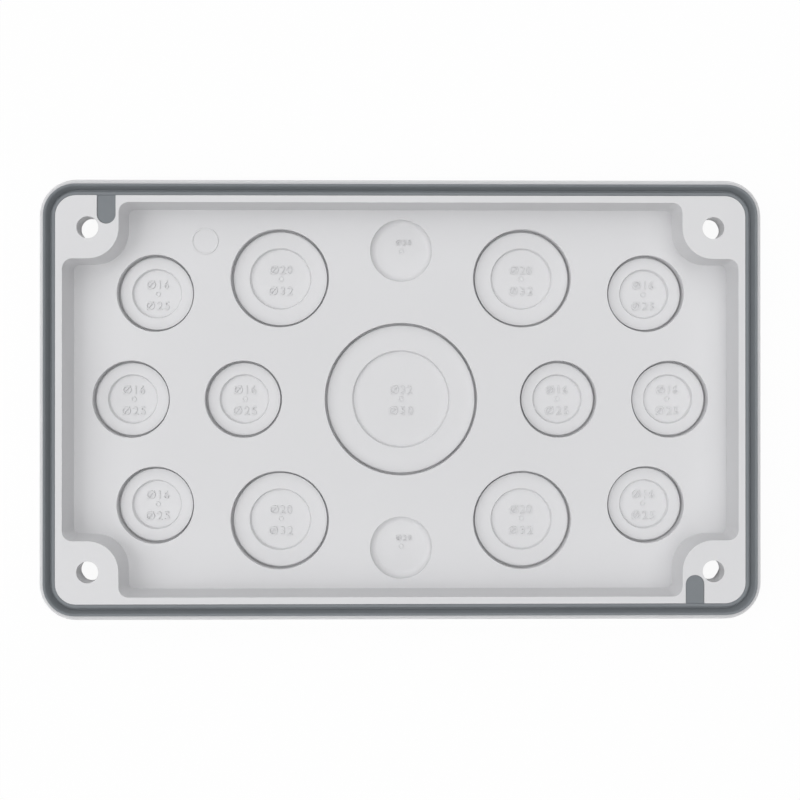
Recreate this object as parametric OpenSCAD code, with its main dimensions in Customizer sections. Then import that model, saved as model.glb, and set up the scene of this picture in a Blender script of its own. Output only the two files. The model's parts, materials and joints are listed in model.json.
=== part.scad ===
// Cable entry plate for the wall of a wiring enclosure.
// A moulded plate with metric knockouts in its floor and a gasket ring in its rim.
// Millimetres. The plate lies on its front face with the sealing side up: the origin is the
// middle of the front face, X runs along the long side and Z points out of the recess.

/* [Plate] */
// Length of the plate along X
plate_w = 232.15; // [210:0.05:300]
// Width of the plate along Y
plate_d = 141.4; // [130:0.1:200]
// Height of the rim's flat land above the front face
rim_h = 13; // [10:0.1:20]
// Thickness of the floor that carries the knockouts
floor_t = 4.2; // [3:0.1:5]
// Radius of the outer corners
corner_r = 11.7; // [9:0.1:14]
// Rounding along the front edge
front_edge_r = 2; // [0.5:0.1:4]
// Rounding along the outer edge of the rim
rim_edge_r = 0.6; // [0.2:0.1:1.2]
// Draft of the recess walls in degrees
draft = 6.2; // [1:0.1:8]

/* [Rim] */
// Width of the lip outside the gasket
lip_w = 1.5; // [1.3:0.05:3]
// Width of the gasket groove
groove_w = 3.5; // [3:0.05:4.5]
// Depth of the gasket groove below the land
groove_depth = 4; // [2.5:0.1:6]
// Width of the flat land between the gasket and the recess
land_w = 2.25; // [1.5:0.05:4]

/* [Screw pillars] */
// Distance of each screw from its two nearest outer edges
screw_inset = 15.35; // [14:0.05:20]
// Diameter of the screw bore
screw_d = 7; // [4:0.1:7.5]
// Length of the screw bore below the land
screw_bore_len = 5.4; // [3:0.1:8]
// Diameter of the screw head's counterbore in the front face
screw_head_d = 12.5; // [9:0.1:15]
// Radius of each pillar around its screw
pillar_r = 10; // [9.5:0.1:12]
// Rounding where a pillar meets the recess wall
pillar_fillet_r = 3.2; // [2:0.1:5]

/* [Knockout sizes] */
// Nominal size of the middle knockout
middle_size = 50; // [40:1:52]
// Nominal size of the core inside the middle knockout
middle_core = 32; // [20:1:36]
// Nominal size of the knockouts around the middle one
quarter_size = 32; // [25:1:34]
// Nominal size of the core inside those knockouts
quarter_core = 20; // [12:1:22]
// Nominal size of the knockouts along both ends
end_size = 25; // [20:1:26]
// Nominal size of the core inside those knockouts
end_core = 16; // [10:1:18]
// Nominal size of the plain thin pockets beside the long walls
pocket_size = 20; // [12:1:22]
// Clearance of a knockout over its nominal diameter
size_play = 0.5; // [0:0.05:1]

/* [Knockout places] */
// Distance of the end knockouts on the middle line from the short wall
end_inset = 19.75; // [18:0.05:22]
// Distance between the two end knockouts on the middle line
end_pitch = 37; // [30:0.5:40]
// Distance of the upper and lower end knockouts from the short wall
side_inset_x = 27.75; // [26:0.05:30]
// Distance of the upper and lower end knockouts from the long wall
side_inset_y = 28.45; // [27:0.05:30]
// Distance from the upper and lower end knockouts to the quarter knockouts along X
quarter_pitch = 41; // [38:0.5:44]
// Distance of the quarter knockouts from the long wall
quarter_inset_y = 23.45; // [21:0.05:25]
// Distance of the pockets from the long wall
pocket_inset_y = 14.35; // [13:0.05:17]

/* [Knockout section] */
// Width of the score groove around a knockout
score_w = 0.75; // [0.4:0.05:1.2]
// Thickness of the web that is left under a score groove
web_t = 0.5; // [0.4:0.05:1]
// Depth of the score ring of a core in the front face
core_score = 0.3; // [0.1:0.05:0.6]
// Step from the face of a core up to the face of its knockout
core_step = 1.2; // [0.1:0.05:1.4]
// Width of the slope between a knockout and its core
core_slope_w = 0.45; // [0.1:0.05:1]
// Thickness of the plain pockets' floor
pocket_t = 2.2; // [1:0.1:2.4]

/* [Gasket] */
// Width of the bead along the gasket's outer side, at the trough
bead_w = 1.6; // [1.3:0.05:2]
// Width of the flat tip of the bead
bead_tip_w = 0.2; // [0.1:0.05:0.4]
// Radius of the bead's shoulder between its tip and its flank
bead_shoulder_r = 0.7; // [0.3:0.05:0.9]
// Height of the bead above the land
bead_rise = 1.4; // [0.5:0.05:1.6]
// Drop of the trough between bead and ledge below the land
trough_drop = 1.2; // [0.3:0.05:1.6]
// Width of the flat ledge along the gasket's inner side
ledge_w = 1; // [0.5:0.05:1.2]
// Width of the gasket's tongues
tongue_w = 6; // [3:0.1:6.4]
// Length of the tongues from the gasket's inner edge
tongue_len = 9.15; // [5:0.05:9.5]
// Depth of the tongues' slots below the land
tongue_depth = 2; // [1:0.1:3]
// Drop of the tongues' faces below the land
tongue_drop = 0.3; // [0:0.05:0.5]
// Distance of a tongue's middle line from the screw beside it
tongue_offset = 6; // [5.7:0.05:6.2]
// Gap between the gasket and the sides of its groove
gasket_gap = 0.05; // [0.02:0.01:0.2]

/* [Hidden] */
$fn = 96;

// Extra length that carries a cut past the face it opens
over = 1;

plate_color = "#dbdbdd";
gasket_color = "#80858a";

// Distances between the centres of the outer corners
span_x = plate_w - 2 * corner_r;
span_y = plate_d - 2 * corner_r;

// Recess opening at the land, and how far its walls lean in on the way down
rim_w = lip_w + groove_w + land_w;
open_x = plate_w / 2 - rim_w;
open_y = plate_d / 2 - rim_w;
recess_depth = rim_h - floor_t;
wall_slope = tan(draft);
lean = recess_depth * wall_slope;
lean_over = over * wall_slope;

screw_x = plate_w / 2 - screw_inset;
screw_y = plate_d / 2 - screw_inset;
pillar_x = screw_x - pillar_r;
pillar_y = screw_y - pillar_r;

// Gasket section, measured outwards from the corner centres
groove_out = corner_r - lip_w;
groove_in = groove_out - groove_w;
gasket_out = groove_out - gasket_gap;
gasket_in = groove_in + gasket_gap;
groove_floor_z = rim_h - groove_depth;
trough_z = rim_h - trough_drop;
bead_top_z = rim_h + bead_rise;

// Round shoulder of the bead, and the straight flank that leaves it for the trough.
// The flank bites a hair into the shoulder's disc, so that the two overlap.
flank_bite = 0.01;
flank_r = bead_shoulder_r - flank_bite;
shoulder_x = gasket_out - bead_tip_w;
shoulder_z = bead_top_z - bead_shoulder_r;
flank_run = bead_w - bead_tip_w;
flank_fall = shoulder_z - trough_z;
flank_tilt = atan2(flank_fall, flank_run) + asin(flank_r / norm([flank_run, flank_fall]));

// Tongues lie along Y beside two opposite screws
tongue_x = screw_x - tongue_offset;
tongue_root_y = plate_d / 2 - lip_w - groove_w;

// Faces of the stepped knockouts above the front face, and the pockets' depth below the floor
core_z = web_t + core_score;
disc_z = core_z + core_step;
pocket_depth = floor_t - pocket_t;

end_x = open_x - end_inset;
side_x = open_x - side_inset_x;
side_y = open_y - side_inset_y;
quarter_x = side_x - quarter_pitch;
quarter_y = open_y - quarter_inset_y;
pocket_y = open_y - pocket_inset_y;

function bore_radius(size) = (size + size_play) / 2;

// Repeats its children in all four corners
module in_corners() {
    for (flip_x = [0, 1], flip_y = [0, 1])
        mirror([flip_x, 0, 0]) mirror([0, flip_y, 0]) children();
}

// Repeats its children on the plate's two ends
module on_both_ends() {
    for (turn = [0, 180])
        rotate(turn) children();
}

// Carries a flat section round the rim: x runs outwards from the corner centres, y runs up
module rim_sweep() {
    on_both_ends() {
        translate([span_x / 2, 0, 0]) rotate([90, 0, 0]) linear_extrude(span_y, center = true) children();
        translate([0, span_y / 2, 0]) rotate([90, 0, 90]) linear_extrude(span_x, center = true) children();
        translate([span_x / 2, span_y / 2, 0]) rotate_extrude(angle = 90) children();
        translate([-span_x / 2, span_y / 2, 0]) rotate(90) rotate_extrude(angle = 90) children();
    }
}

// What a rounding of radius r takes off the corner of a section
module rounding_cut(r) {
    difference() {
        square(r + over);
        circle(r);
    }
}

module outer_section() {
    difference() {
        square([corner_r, rim_h]);
        translate([corner_r - rim_edge_r, rim_h - rim_edge_r]) rounding_cut(rim_edge_r);
        translate([corner_r - front_edge_r, front_edge_r]) mirror([0, 1]) rounding_cut(front_edge_r);
    }
}

module plate_blank() {
    translate([-span_x / 2, -span_y / 2, 0]) cube([span_x, span_y, rim_h]);
    rim_sweep() outer_section();
}

// Section across a pocket of half width half_w at the land, with drafted walls
module drafted_section(half_w) {
    polygon([
        [-half_w + lean, floor_t],
        [half_w - lean, floor_t],
        [half_w + lean_over, rim_h + over],
        [-half_w - lean_over, rim_h + over]
    ]);
}

// Rectangular pocket with drafted walls and rounded corners
module drafted_pocket(half_x, half_y) {
    flat_x = half_x - pillar_fillet_r;
    flat_y = half_y - pillar_fillet_r;
    rotate([90, 0, 90]) linear_extrude(2 * flat_x, center = true) drafted_section(half_y);
    rotate([90, 0, 0]) linear_extrude(2 * flat_y, center = true) drafted_section(half_x);
    in_corners()
        translate([flat_x, flat_y, floor_t])
            cylinder(h = recess_depth + over, r1 = pillar_fillet_r - lean, r2 = pillar_fillet_r + lean_over);
}

// Rounds off the inner corner of a pillar about its screw
module pillar_relief() {
    difference() {
        translate([pillar_x - pillar_fillet_r, pillar_y - pillar_fillet_r, floor_t])
            cube([pillar_r + pillar_fillet_r, pillar_r + pillar_fillet_r, recess_depth + over]);
        translate([screw_x, screw_y, floor_t])
            cylinder(h = recess_depth + over, r1 = pillar_r + lean, r2 = pillar_r - lean_over);
    }
}

module recess() {
    drafted_pocket(pillar_x, open_y);
    drafted_pocket(open_x, pillar_y);
    in_corners() pillar_relief();
}

module screw_bore() {
    translate([screw_x, screw_y, -over]) {
        cylinder(h = rim_h + 2 * over, d = screw_d);
        cylinder(h = rim_h - screw_bore_len + over, d = screw_head_d);
    }
}

// Bar with one round end, from the groove to the tongue's tip
module tongue_bar(width, root_y, bottom_z, top_z) {
    tip_y = tongue_root_y - tongue_len + tongue_w / 2;
    translate([-tongue_x, tip_y, bottom_z]) {
        translate([-width / 2, 0, 0]) cube([width, root_y - tip_y, top_z - bottom_z]);
        cylinder(h = top_z - bottom_z, d = width);
    }
}

module groove_section() {
    translate([groove_in, groove_floor_z]) square([groove_w, groove_depth + over]);
}

// Ring cut into the front face that leaves a web under a face at height face_z
module front_score(radius, face_z) {
    difference() {
        translate([0, 0, -over]) cylinder(h = over + face_z - web_t, r = radius);
        translate([0, 0, -2 * over]) cylinder(h = 3 * over + face_z, r = radius - score_w);
    }
}

// Stepped knockout: scored from the recess side, its core scored from the front
module knockout(size, core) {
    r = bore_radius(size);
    core_r = bore_radius(core);
    rotate_extrude()
        polygon([
            [0, core_z],
            [core_r - core_slope_w, core_z],
            [core_r, disc_z],
            [r - score_w, disc_z],
            [r - score_w, web_t],
            [r, web_t],
            [r, floor_t + over],
            [0, floor_t + over]
        ]);
    front_score(core_r, core_z);
}

// Plain thin knockout: a pocket whose wall curves into its floor
module plain_pocket() {
    r = bore_radius(pocket_size);
    rotate_extrude() {
        translate([0, pocket_t]) square([r - pocket_depth, pocket_depth + over]);
        translate([0, floor_t]) square([r, over]);
        intersection() {
            translate([r - pocket_depth, floor_t]) circle(pocket_depth);
            translate([r - pocket_depth, pocket_t]) square(pocket_depth);
        }
    }
    front_score(r, pocket_t);
}

module all_knockouts() {
    knockout(middle_size, middle_core);
    in_corners() {
        translate([quarter_x, quarter_y, 0]) knockout(quarter_size, quarter_core);
        translate([side_x, side_y, 0]) knockout(end_size, end_core);
    }
    on_both_ends() {
        translate([end_x, 0, 0]) knockout(end_size, end_core);
        translate([end_x - end_pitch, 0, 0]) knockout(end_size, end_core);
        translate([0, pocket_y, 0]) plain_pocket();
    }
}

module entry_plate() {
    color(plate_color)
        difference() {
            plate_blank();
            recess();
            rim_sweep() groove_section();
            on_both_ends()
                tongue_bar(tongue_w, tongue_root_y + groove_w / 2, rim_h - tongue_depth, rim_h + over);
            in_corners() screw_bore();
            all_knockouts();
        }
}

// Quarter disc that rounds the bead's shoulder towards the recess
module shoulder_quarter() {
    intersection() {
        translate([shoulder_x, shoulder_z]) circle(bead_shoulder_r);
        translate([shoulder_x - bead_shoulder_r, shoulder_z]) square(bead_shoulder_r);
    }
}

// Section of the gasket: a round-shouldered bead, a trough, and a ledge level with the land
module gasket_section() {
    polygon([
        [gasket_in, groove_floor_z],
        [gasket_out, groove_floor_z],
        [gasket_out, bead_top_z],
        [shoulder_x, bead_top_z],
        [shoulder_x - flank_r * sin(flank_tilt), shoulder_z + flank_r * cos(flank_tilt)],
        [gasket_out - bead_w, trough_z],
        [gasket_in + ledge_w, trough_z],
        [gasket_in + ledge_w, rim_h],
        [gasket_in, rim_h]
    ]);
    shoulder_quarter();
}

module sealing_gasket() {
    color(gasket_color) {
        rim_sweep() gasket_section();
        on_both_ends()
            tongue_bar(tongue_w - 2 * gasket_gap, tongue_root_y + ledge_w / 2,
                       rim_h - tongue_depth, rim_h - tongue_drop);
    }
}

entry_plate();
sealing_gasket();
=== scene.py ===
# %% [markdown]
# # A cable entry plate with its sealing ring
#
# This plate closes the cable side of a wiring enclosure. We look at the side that meets the enclosure: a
# shallow tray with knockouts moulded into its floor and a rubber ring around its rim.
# The solids come from CAD and stay the measure of everything. Blender adds what a drawing leaves out: the
# small radius on every moulded edge, the raised size numbers, the finish of the plastic and the rubber, and
# the light that shows them.

# %% Load the CAD solids
import json
import math

import bpy
from mathutils import Matrix, Vector

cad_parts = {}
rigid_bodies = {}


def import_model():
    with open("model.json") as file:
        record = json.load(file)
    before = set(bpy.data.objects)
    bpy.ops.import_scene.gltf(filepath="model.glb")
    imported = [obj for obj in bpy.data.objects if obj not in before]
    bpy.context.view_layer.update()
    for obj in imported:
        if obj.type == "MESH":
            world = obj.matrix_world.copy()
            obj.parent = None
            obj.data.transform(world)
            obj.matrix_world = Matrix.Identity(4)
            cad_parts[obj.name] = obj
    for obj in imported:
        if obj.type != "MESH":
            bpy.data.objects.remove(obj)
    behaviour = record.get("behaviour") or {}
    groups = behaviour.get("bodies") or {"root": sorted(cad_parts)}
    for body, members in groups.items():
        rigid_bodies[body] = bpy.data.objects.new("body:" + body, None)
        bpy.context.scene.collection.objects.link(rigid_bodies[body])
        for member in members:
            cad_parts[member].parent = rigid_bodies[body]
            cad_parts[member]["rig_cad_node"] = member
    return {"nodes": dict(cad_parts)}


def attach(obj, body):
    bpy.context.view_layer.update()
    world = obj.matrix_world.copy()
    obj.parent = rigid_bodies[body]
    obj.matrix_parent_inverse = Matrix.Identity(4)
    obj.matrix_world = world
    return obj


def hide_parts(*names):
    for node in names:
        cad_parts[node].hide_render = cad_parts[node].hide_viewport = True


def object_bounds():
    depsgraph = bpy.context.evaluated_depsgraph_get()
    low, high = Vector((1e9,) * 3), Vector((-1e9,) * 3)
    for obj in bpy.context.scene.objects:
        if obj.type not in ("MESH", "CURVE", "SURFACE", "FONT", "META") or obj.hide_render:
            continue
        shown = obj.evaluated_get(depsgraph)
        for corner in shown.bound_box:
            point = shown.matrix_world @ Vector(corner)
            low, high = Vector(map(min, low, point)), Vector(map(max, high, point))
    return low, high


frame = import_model()
cad_low, cad_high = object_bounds()
MM = 0.001
print("CAD box in mm:", [round(side / MM, 2) for side in cad_high - cad_low])

# %% [markdown]
# ## From solids to moulded pieces
#
# A CAD solid arrives as loose triangles with knife-sharp edges, and no moulding has those: the steel of
# the mould leaves a small radius everywhere. Each piece could be modelled again by hand, but its shape is
# right already. So we copy the solid, weld its triangles into one skin, let flat triangles grow together
# into whole faces, and run a narrow bevel along every edge that turns sharply. The bevel is too small to
# change any size, yet it is what catches the light. Smooth shading would let the bevel's slant bleed into
# the wide faces beside it as faint streaks, so a Weighted Normal modifier lets the larger face decide.

# %% Helpers that copy a solid and soften its edges
WELD_DISTANCE = 0.001 * MM
FLAT_ANGLE = math.radians(0.2)
SHARP_ANGLE = math.radians(28)
SMOOTH_ANGLE = math.radians(35)
BEVEL_STEPS = 2
WIDE_FACE_WEIGHT = 100
LOW_CORNER = 0
HIGH_CORNER = 6


def pick(piece):
    """Selects one object alone and makes it the active one."""
    bpy.ops.object.select_all(action="DESELECT")
    piece.select_set(True)
    bpy.context.view_layer.objects.active = piece


def welded_copy(node_name, piece_name):
    """Copies a CAD node as one closed skin with whole flat faces."""
    pick(frame["nodes"][node_name])
    bpy.ops.object.duplicate()
    piece = bpy.context.active_object
    piece.name = piece_name
    piece.data.name = piece_name
    del piece["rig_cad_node"]
    bpy.ops.mesh.customdata_custom_splitnormals_clear()
    bpy.ops.object.mode_set(mode="EDIT")
    bpy.ops.mesh.select_all(action="SELECT")
    bpy.ops.mesh.remove_doubles(threshold=WELD_DISTANCE)
    bpy.ops.mesh.dissolve_limited(angle_limit=FLAT_ANGLE)
    bpy.ops.object.mode_set(mode="OBJECT")
    return piece


def soften_edges(piece, radius):
    """Bevels each sharp edge of a piece, smooths its shading and keeps its wide faces flat."""
    pick(piece)
    bevel = piece.modifiers.new("edge_radius", "BEVEL")
    bevel.width = radius
    bevel.segments = BEVEL_STEPS
    bevel.limit_method = "ANGLE"
    bevel.angle_limit = SHARP_ANGLE
    bpy.ops.object.modifier_apply(modifier=bevel.name)
    bpy.ops.object.shade_smooth_by_angle(angle=SMOOTH_ANGLE)
    flats = piece.modifiers.new("flat_faces", "WEIGHTED_NORMAL")
    flats.mode = "FACE_AREA"
    flats.weight = WIDE_FACE_WEIGHT
    flats.keep_sharp = True
    bpy.ops.object.modifier_apply(modifier=flats.name)


def describe(piece):
    """Prints a piece's size and how many faces it has."""
    low = Vector(piece.bound_box[LOW_CORNER]) / MM
    high = Vector(piece.bound_box[HIGH_CORNER]) / MM
    size = [round(side, 2) for side in high - low]
    print(piece.name, "is", size, "mm with", len(piece.data.polygons), "faces")


# %% [markdown]
# ## The plate
#
# One injection moulding of light grey plastic: rim, recess, four screw pillars and fifteen knockouts in one
# shot. Its edges are crisp, with a radius of about a tenth of a millimetre.

# %% Make the plate
PLATE_EDGE = 0.12 * MM

plate = welded_copy("entry_plate", "plate_moulding")
soften_edges(plate, PLATE_EDGE)
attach(plate, "root")
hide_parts("entry_plate")
describe(plate)

# %% [markdown]
# ## The sealing ring
#
# A soft rubber ring lies in the groove of the rim. Its bead stands above the land and is pressed flat when
# the plate is screwed down, and two short tongues keep the ring from turning. Rubber leaves its mould with
# rounder edges than hard plastic, so its bevel is wider.

# %% Make the sealing ring
RUBBER_EDGE = 0.16 * MM

sealing_ring = welded_copy("sealing_gasket", "sealing_ring")
soften_edges(sealing_ring, RUBBER_EDGE)
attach(sealing_ring, "root")
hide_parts("sealing_gasket")
describe(sealing_ring)

# %% [markdown]
# ## The size numbers
#
# Each knockout says how wide a hole it leaves: the core's diameter above the middle, the whole knockout's
# below it. The numbers stand a hair above the plastic, because a mould is easily engraved and the
# engraving comes out raised. Text objects give clean letter shapes, so each number is typed once, given
# thickness and a soft edge, turned into a mesh, and copied to every knockout that needs it.
# Places and heights of the knockouts are in millimetres, as in the drawing.

# %% Where the knockouts are
CORE_FACE = 0.8
POCKET_FACE = 2.2
UPPER_LINE = 3.1
LOWER_LINE = -3.9
POCKET_LINE = 3.0
POCKET_ASIDE = 0.8

END_OUTER_X = 89.08
END_INNER_X = 52.08
SIDE_X = 81.08
SIDE_Y = 35
QUARTER_X = 40.08
QUARTER_Y = 40
POCKET_Y = 49.1

end_knockouts = [(x, 0) for x in (-END_OUTER_X, -END_INNER_X, END_INNER_X, END_OUTER_X)]
side_knockouts = [(x, y) for x in (-SIDE_X, SIDE_X) for y in (-SIDE_Y, SIDE_Y)]
quarter_knockouts = [(x, y) for x in (-QUARTER_X, QUARTER_X) for y in (-QUARTER_Y, QUARTER_Y)]
middle_knockout = [(0, 0)]
thin_pockets = [(0, -POCKET_Y), (0, POCKET_Y)]
stepped_knockouts = end_knockouts + side_knockouts + quarter_knockouts + middle_knockout
print(len(stepped_knockouts), "stepped knockouts and", len(thin_pockets), "thin pockets")

# %% Type each number once
NUMBER_HEIGHT = 2.8 * MM
POCKET_NUMBER_HEIGHT = 1.9 * MM
NUMBER_RISE = 0.4 * MM
NUMBER_EDGE = 0.06 * MM
NUMBER_CURVE_STEPS = 3
NUMBER_EDGE_STEPS = 0
CAP_SHARE = 0.703
UPPER_SPREAD = 1.1
LOWER_SPREAD = 1.25
POCKET_SPREAD = 1.2


def move_to_origin(piece):
    """Moves a mesh in edit mode until its middle lies at the origin."""
    corners = [Vector(corner) for corner in piece.bound_box]
    middle = sum(corners, Vector()) / len(corners)
    bpy.ops.object.mode_set(mode="EDIT")
    bpy.ops.mesh.select_all(action="SELECT")
    bpy.ops.transform.translate(value=-middle)
    bpy.ops.object.mode_set(mode="OBJECT")


def raised_number(text, height, spread):
    """Types a number, thickens it and returns it as a mesh whose middle is the origin."""
    bpy.ops.object.select_all(action="DESELECT")
    bpy.ops.object.text_add()
    number = bpy.context.active_object
    number.name = "number_" + text
    number.data.body = "Ø" + text
    number.data.size = height / CAP_SHARE
    number.data.space_character = spread
    number.data.resolution_u = NUMBER_CURVE_STEPS
    number.data.extrude = NUMBER_RISE - NUMBER_EDGE
    number.data.bevel_depth = NUMBER_EDGE
    number.data.bevel_resolution = NUMBER_EDGE_STEPS
    number.data.offset = -NUMBER_EDGE
    bpy.ops.object.convert(target="MESH")
    bpy.ops.object.mode_set(mode="EDIT")
    bpy.ops.mesh.select_all(action="SELECT")
    bpy.ops.mesh.remove_doubles(threshold=WELD_DISTANCE)
    bpy.ops.object.mode_set(mode="OBJECT")
    move_to_origin(number)
    describe(number)
    return number


core_numbers = {size: raised_number(size, NUMBER_HEIGHT, UPPER_SPREAD) for size in ("16", "20", "32")}
whole_numbers = {size: raised_number(size, NUMBER_HEIGHT, LOWER_SPREAD) for size in ("25", "32", "50")}
pocket_number = raised_number("20", POCKET_NUMBER_HEIGHT, POCKET_SPREAD)

# %% Copy the numbers to their knockouts


def place_copy(pattern, x, y, z):
    """Copies a pattern with a mesh of its own to a place in millimetres."""
    pick(pattern)
    bpy.ops.object.duplicate()
    copy = bpy.context.active_object
    copy.location = Vector((x, y, z)) * MM
    bpy.ops.object.transform_apply(location=True, rotation=True, scale=True)
    return copy


def join_copies(copies, patterns, piece_name):
    """Removes the patterns and joins the copies into one piece that rides with the plate."""
    for pattern in patterns:
        bpy.data.objects.remove(pattern)
    pick(copies[0])
    for copy in copies:
        copy.select_set(True)
    bpy.ops.object.join()
    piece = bpy.context.active_object
    piece.name = piece_name
    piece.data.name = piece_name
    bpy.ops.object.shade_smooth_by_angle(angle=SMOOTH_ANGLE)
    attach(piece, "root")
    describe(piece)
    return piece


number_plan = [
    (end_knockouts + side_knockouts, "16", "25"),
    (quarter_knockouts, "20", "32"),
    (middle_knockout, "32", "50"),
]
number_patterns = [*core_numbers.values(), *whole_numbers.values(), pocket_number]
number_copies = []
for x, y in thin_pockets:
    number_copies.append(place_copy(pocket_number, x + POCKET_ASIDE, y + POCKET_LINE, POCKET_FACE))
for places, core_size, whole_size in number_plan:
    for x, y in places:
        number_copies.append(place_copy(core_numbers[core_size], x, y + UPPER_LINE, CORE_FACE))
        number_copies.append(place_copy(whole_numbers[whole_size], x, y + LOWER_LINE, CORE_FACE))
size_numbers = join_copies(number_copies, number_patterns, "size_numbers")

# %% [markdown]
# ## The centre pips
#
# A small ring marks the middle of each knockout, where a punch or a drill is set to break it out. A short
# cylinder is the start: its top is inset and sunk, which leaves a raised rim around a dimple.

# %% Make one pip and copy it
PIP_RADIUS = 0.9 * MM
PIP_RIM = 0.35 * MM
PIP_RISE = 0.3 * MM
PIP_ROOT = 0.2 * MM
PIP_DIMPLE = 0.25 * MM
PIP_EDGE = 0.04 * MM
PIP_SIDES = 32


def select_top(piece):
    """Leaves edit mode's selection on the highest flat face alone."""
    bpy.ops.mesh.select_all(action="DESELECT")
    bpy.ops.object.mode_set(mode="OBJECT")
    top = max(piece.data.polygons, key=lambda face: face.center.z)
    top.select = True
    bpy.ops.object.mode_set(mode="EDIT")


bpy.ops.object.select_all(action="DESELECT")
bpy.ops.mesh.primitive_cylinder_add(vertices=PIP_SIDES, radius=PIP_RADIUS, depth=PIP_RISE + PIP_ROOT)
pip = bpy.context.active_object
pip.location.z = (PIP_RISE - PIP_ROOT) / 2
bpy.ops.object.transform_apply(location=True, rotation=True, scale=True)
bpy.ops.object.mode_set(mode="EDIT")
select_top(pip)
bpy.ops.mesh.inset(thickness=PIP_RIM)
bpy.ops.mesh.extrude_region_move(TRANSFORM_OT_translate={"value": (0, 0, -PIP_DIMPLE)})
bpy.ops.object.mode_set(mode="OBJECT")
soften_edges(pip, PIP_EDGE)
describe(pip)

pip_copies = [place_copy(pip, x, y, CORE_FACE) for x, y in stepped_knockouts]
pip_copies += [place_copy(pip, x, y, POCKET_FACE) for x, y in thin_pockets]
centre_pips = join_copies(pip_copies, [pip], "centre_pips")

# %% [markdown]
# ## The blank insert
#
# Moulds often hold a small round insert that can be changed, and its seam shows on the part as a fine
# raised ring. A circle of edges is extruded inwards to a flat band, and the band is then given its height.

# %% Make the ring of the blank insert
INSERT_PLACE = (-64.75, 52.2)
FLOOR_FACE = 4.2
INSERT_RADIUS = 4.4 * MM
INSERT_LINE = 0.45 * MM
INSERT_RISE = 0.25 * MM
INSERT_ROOT = 0.1 * MM
INSERT_SIDES = 72

bpy.ops.object.select_all(action="DESELECT")
bpy.ops.mesh.primitive_circle_add(vertices=INSERT_SIDES, radius=INSERT_RADIUS)
insert = bpy.context.active_object
inner_share = (INSERT_RADIUS - INSERT_LINE) / INSERT_RADIUS
bpy.ops.object.mode_set(mode="EDIT")
bpy.ops.mesh.select_all(action="SELECT")
bpy.ops.mesh.extrude_edges_move()
bpy.ops.transform.resize(value=(inner_share, inner_share, 1))
bpy.ops.mesh.select_all(action="SELECT")
bpy.ops.transform.translate(value=(0, 0, -INSERT_ROOT))
bpy.ops.mesh.extrude_region_move(TRANSFORM_OT_translate={"value": (0, 0, INSERT_RISE + INSERT_ROOT)})
bpy.ops.mesh.select_all(action="SELECT")
bpy.ops.mesh.normals_make_consistent(inside=False)
bpy.ops.object.mode_set(mode="OBJECT")
soften_edges(insert, PIP_EDGE)
insert_copies = [place_copy(insert, *INSERT_PLACE, FLOOR_FACE)]
insert_ring = join_copies(insert_copies, [insert], "insert_ring")

# %% [markdown]
# ## Finishes
#
# Both finishes are procedural: patterns of noise on the piece's own coordinates, in metres, so that a grain
# has its real size from every side. One small class stands for a wire in a node tree. Adding or
# multiplying two wires places the Math node for it, and one method places any other node. A Mix node has
# sockets for each kind of data under the same names, so its colour sockets are picked by their number.

# %% A wire between shader nodes
FIRST_COLOUR = 6
SECOND_COLOUR = 7
MIXED_COLOUR = 2
EVEN_NOISE = 0.5


class Wire:
    """One output of a shader node, which plain Python maths can work with."""

    def __init__(self, tree, socket=None):
        self.tree = tree
        self.socket = socket

    def node(self, kind, settings=None, sockets=None, output=0):
        """Adds a node, sets it up, feeds its sockets and returns the wire that leaves it."""
        made = self.tree.nodes.new(kind)
        for name, value in (settings or {}).items():
            setattr(made, name, value)
        for name, value in (sockets or {}).items():
            if isinstance(value, Wire):
                self.tree.links.new(value.socket, made.inputs[name])
            else:
                made.inputs[name].default_value = value
        return Wire(self.tree, made.outputs[output] if made.outputs else None)

    def maths(self, operation, first, second):
        return self.node("ShaderNodeMath", {"operation": operation}, {0: first, 1: second})

    def __add__(self, other):
        return self.maths("ADD", self, other)

    def __radd__(self, other):
        return self.maths("ADD", other, self)

    def __sub__(self, other):
        return self.maths("SUBTRACT", self, other)

    def __rsub__(self, other):
        return self.maths("SUBTRACT", other, self)

    def __mul__(self, other):
        return self.maths("MULTIPLY", self, other)

    def __rmul__(self, other):
        return self.maths("MULTIPLY", other, self)


def new_finish(name):
    """Starts an empty material and returns it with a wire to build on."""
    finish = bpy.data.materials.new(name)
    finish.use_nodes = True
    finish.node_tree.nodes.clear()
    return finish, Wire(finish.node_tree)


def grain(wire, place, size, detail, roughness=EVEN_NOISE):
    """Noise from 0 to 1 whose blobs are about as wide as size."""
    return wire.node(
        "ShaderNodeTexNoise",
        {"noise_dimensions": "3D"},
        {"Vector": place, "Scale": 1 / size, "Detail": detail, "Roughness": roughness},
    )


def blend_colours(wire, share, first, second):
    """Mixes two colours by a share from 0 to 1."""
    return wire.node(
        "ShaderNodeMix",
        {"data_type": "RGBA"},
        {"Factor": share, FIRST_COLOUR: (*first, 1), SECOND_COLOUR: (*second, 1)},
        output=MIXED_COLOUR,
    )


def coat(pieces, finish):
    """Gives each piece one finish and nothing else."""
    for piece in pieces:
        piece.data.materials.clear()
        piece.data.materials.append(finish)
    print(finish.name, "on", ", ".join(piece.name for piece in pieces))


# %% [markdown]
# ### Light grey plastic
#
# The plate is a satin plastic in a cool light grey. Spark erosion gives the mould, and so the part, a fine
# even grain of about a fifth of a millimetre. Where the melt flowed together, the grey drifts by a percent
# or two and the satin is a little tighter or wider. The grain is a bump, and the drift goes into colour and
# roughness.

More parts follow.
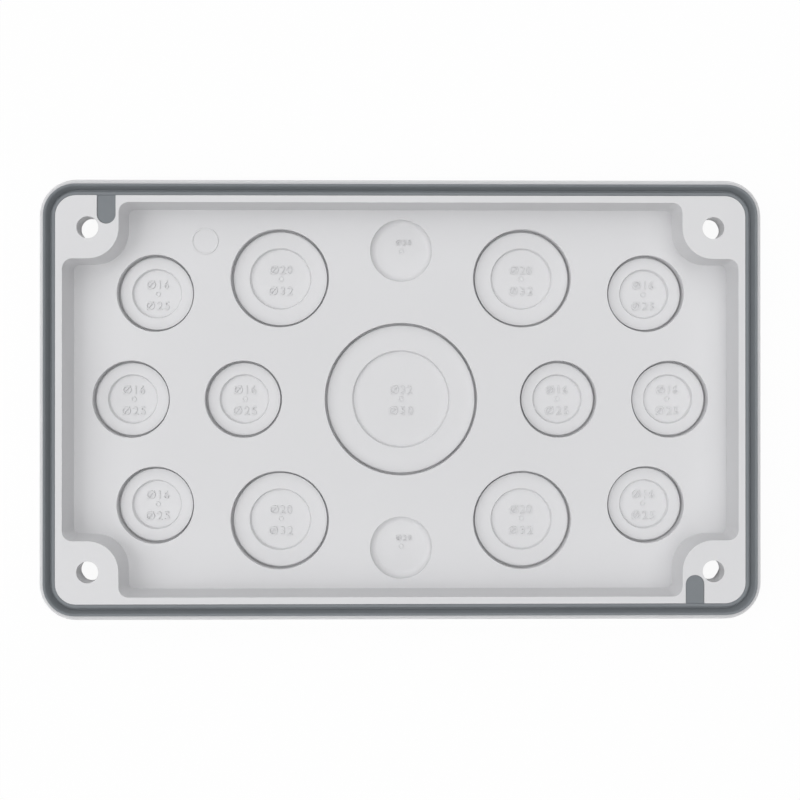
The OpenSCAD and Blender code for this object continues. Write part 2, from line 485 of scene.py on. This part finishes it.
# %% Mix the plastic
PLASTIC_PALE = (0.679, 0.679, 0.691)
PLASTIC_DEEP = (0.652, 0.653, 0.666)
FLOW_WIDTH = 34 * MM
FLECK_WIDTH = 0.9 * MM
SPARK_GRAIN = 0.22 * MM
SPARK_DEPTH = 0.006 * MM
FLOW_DETAIL = 2
FLECK_DETAIL = 1
SPARK_DETAIL = 2
FLOW_SHARE = 0.75
FLECK_SHARE = 0.25
SATIN = 0.4
SATIN_FLOW = 0.12
SATIN_SPARK = 0.06
PLASTIC_SHEEN = 0.35
PLASTIC_IOR = 1.5

plastic, wire = new_finish("plate_plastic_satin")
place = wire.node("ShaderNodeTexCoord", output="Object")
flow = grain(wire, place, FLOW_WIDTH, FLOW_DETAIL)
fleck = grain(wire, place, FLECK_WIDTH, FLECK_DETAIL)
spark = grain(wire, place, SPARK_GRAIN, SPARK_DETAIL)
drift = FLOW_SHARE * flow + FLECK_SHARE * fleck
plastic_colour = blend_colours(wire, drift, PLASTIC_PALE, PLASTIC_DEEP)
plastic_bump = wire.node(
    "ShaderNodeBump", None, {"Strength": 1.0, "Distance": SPARK_DEPTH, "Height": spark}
)
plastic_shader = wire.node(
    "ShaderNodeBsdfPrincipled",
    None,
    {
        "Base Color": plastic_colour,
        "Roughness": SATIN + SATIN_FLOW * flow + SATIN_SPARK * spark,
        "Normal": plastic_bump,
        "Specular IOR Level": PLASTIC_SHEEN,
        "IOR": PLASTIC_IOR,
    },
)
wire.node("ShaderNodeOutputMaterial", None, {"Surface": plastic_shader})
coat([plate, size_numbers, centre_pips, insert_ring], plastic)

# %% [markdown]
# ### Grey sealing rubber
#
# Soft moulded rubber is matte and a little cloudy: wax and talc rise to its surface as a pale bloom,
# stronger in some places than in others. Its own grain is finer than the plastic's, and nothing on it shines.

# %% Mix the rubber
RUBBER_DARK = (0.175, 0.191, 0.206)
RUBBER_BLOOM = (0.219, 0.235, 0.249)
BLOOM_WIDTH = 5 * MM
TALC_GRAIN = 0.16 * MM
TALC_DEPTH = 0.01 * MM
BLOOM_DETAIL = 3
BLOOM_RAGGED = 0.6
TALC_DETAIL = 2
BLOOM_SHARE = 0.7
TALC_SHARE = 0.3
MATTE = 0.62
MATTE_BLOOM = 0.2
RUBBER_SHEEN = 0.25
RUBBER_IOR = 1.5

rubber, wire = new_finish("gasket_rubber_matte")
place = wire.node("ShaderNodeTexCoord", output="Object")
bloom = grain(wire, place, BLOOM_WIDTH, BLOOM_DETAIL, BLOOM_RAGGED)
talc = grain(wire, place, TALC_GRAIN, TALC_DETAIL)
cloud = BLOOM_SHARE * bloom + TALC_SHARE * talc
rubber_colour = blend_colours(wire, cloud, RUBBER_DARK, RUBBER_BLOOM)
rubber_bump = wire.node(
    "ShaderNodeBump", None, {"Strength": 1.0, "Distance": TALC_DEPTH, "Height": talc}
)
rubber_shader = wire.node(
    "ShaderNodeBsdfPrincipled",
    None,
    {
        "Base Color": rubber_colour,
        "Roughness": MATTE + MATTE_BLOOM * bloom,
        "Normal": rubber_bump,
        "Specular IOR Level": RUBBER_SHEEN,
        "IOR": RUBBER_IOR,
    },
)
wire.node("ShaderNodeOutputMaterial", None, {"Surface": rubber_shader})
coat([sealing_ring], rubber)

# %% [markdown]
# ## Floor and light
#
# The plate lies on a wide white sheet. To the camera, and in reflections, the sheet is close to pure white,
# while it still takes a little of the plate's shadow: most of what the eye sees is a white glow, and the
# rest is an ordinary white surface.

# %% Lay the floor
FLOOR_SIDE = 12.0
FLOOR_GAP = 0.05 * MM
FLOOR_GLOW = 0.95
FLOOR_WHITE = (0.86, 0.86, 0.86, 1)
PURE_WHITE = (1, 1, 1, 1)


def seen_directly(wire):
    """1 for rays from the camera and for those that a gloss or a glass sends on, else 0."""
    kinds = ("Is Camera Ray", "Is Glossy Ray", "Is Transmission Ray")
    rays = [wire.node("ShaderNodeLightPath", output=kind) for kind in kinds]
    shown = wire.maths("MAXIMUM", rays[0], rays[1])
    return wire.maths("MAXIMUM", shown, rays[2])


bpy.ops.object.select_all(action="DESELECT")
bpy.ops.mesh.primitive_plane_add(size=FLOOR_SIDE, location=(0, 0, cad_low.z - FLOOR_GAP))
floor = bpy.context.active_object
floor.name = "studio_floor"
sheet, wire = new_finish("studio_white")
matte = wire.node("ShaderNodeBsdfDiffuse", None, {"Color": FLOOR_WHITE})
glow = wire.node("ShaderNodeEmission", None, {"Color": PURE_WHITE, "Strength": 1.0})
sheet_shader = wire.node(
    "ShaderNodeMixShader", None, {0: FLOOR_GLOW * seen_directly(wire), 1: matte, 2: glow}
)
wire.node("ShaderNodeOutputMaterial", None, {"Surface": sheet_shader})
floor.data.materials.append(sheet)
print("floor at", round(floor.location.z / MM, 3), "mm")

# %% [markdown]
# A white room and four softboxes light the plate. Each source is given as its share of the light on a
# level face, and the shares add up to one, so that a level face shows its own colour. Most softboxes stand
# halfway up, because light from the side leaves the recess walls and the foot of each step a little darker,
# which is how the eye reads depth here. The left one is the strongest. A lamp's power in watts doesn't say
# how bright it leaves the plate, because that depends on its size and distance too. So the script works out
# how much of the view from the plate a softbox fills, and from that the power that gives the wanted share.
# Pale plastic passes light on from wall to wall, and after many bounces even a narrow pocket is nearly as
# bright as the floor around it. Here each source may bounce only twice, which keeps the pockets readable.
# The plan gives each softbox's heading and rise in degrees, and its share.

# %% Hang the lights
ROOM_SHARE = 0.16
LIGHT_BOUNCES = 2
SOFTBOX_DISTANCE = 2.0
SOFTBOX_SIDE = 1.5
softbox_plan = {
    "left_softbox": (180, 45, 0.28),
    "right_softbox": (0, 60, 0.2),
    "far_softbox": (90, 45, 0.2),
    "near_softbox": (270, 45, 0.16),
}

softbox_half = SOFTBOX_SIDE / 2 / SOFTBOX_DISTANCE
softbox_slant = softbox_half / math.hypot(1, softbox_half)
softbox_view = 4 * softbox_slant * math.atan(softbox_slant)


def hang_softbox(name, heading, rise, share):
    """Hangs a square softbox that gives a level face at the origin its share of the light."""
    turn = math.radians(heading)
    lift = math.radians(rise)
    level = math.cos(lift)
    spot = Vector((math.cos(turn) * level, math.sin(turn) * level, math.sin(lift)))
    bpy.ops.object.light_add(type="AREA", location=spot * SOFTBOX_DISTANCE)
    lamp = bpy.context.active_object
    lamp.name = name
    lamp.rotation_euler = spot.to_track_quat("Z", "Y").to_euler()
    lamp.data.size = SOFTBOX_SIDE
    lamp.data.energy = share * math.pi**2 * SOFTBOX_SIDE**2 / (softbox_view * math.sin(lift))
    lamp.data.cycles.max_bounces = LIGHT_BOUNCES
    print(name, "with", round(lamp.data.energy, 2), "W")


for name, (heading, rise, share) in softbox_plan.items():
    hang_softbox(name, heading, rise, share)

# %% Paint the room
room = bpy.data.worlds.new("white_room")
bpy.context.scene.world = room
room.cycles.max_bounces = LIGHT_BOUNCES
room.use_nodes = True
room.node_tree.nodes.clear()
wire = Wire(room.node_tree)
shown = seen_directly(wire)
room_strength = shown + ROOM_SHARE * (1 - shown)
backdrop = wire.node("ShaderNodeBackground", None, {"Color": PURE_WHITE, "Strength": room_strength})
wire.node("ShaderNodeOutputWorld", None, {"Surface": backdrop})
bpy.context.scene.view_settings.view_transform = "Standard"
print("room share", ROOM_SHARE, "and softbox shares", [share for *_, share in softbox_plan.values()])

# %% [markdown]
# ## Camera
#
# The picture is taken from almost straight above, a third of a metre from the plate, with the plate's long
# side level. The camera is built from the point it stands on and the point it looks at. Its right and up
# directions follow from the plate's own Y axis. It stands a few millimetres above the plate's middle line,
# and a small shift of the lens brings the plate back to the middle of the picture, as cropping a print would.

# %% Set the camera
CAMERA_PLACE = Vector((-3.22, 6.34, 323.58)) * MM
CAMERA_AIM = Vector((-0.42, 6.88, 13.0)) * MM
VIEW_ANGLE = math.radians(45)
LENS_SHIFT = -0.0271

bpy.ops.object.camera_add(location=CAMERA_PLACE)
camera = bpy.context.active_object
camera.name = "studio_camera"
ahead = (CAMERA_AIM - CAMERA_PLACE).normalized()
right = ahead.cross(Vector((0, 1, 0))).normalized()
up = right.cross(ahead)
turned = Matrix((right, up, -ahead)).transposed()
camera.rotation_euler = turned.to_euler()
camera.data.angle = VIEW_ANGLE
camera.data.shift_y = LENS_SHIFT
camera.data.clip_start = MM
camera.data.clip_end = FLOOR_SIDE
bpy.context.scene.camera = camera
turns = [round(math.degrees(angle), 3) for angle in camera.rotation_euler]
print("lens", round(camera.data.lens, 2), "mm, turned by", turns)
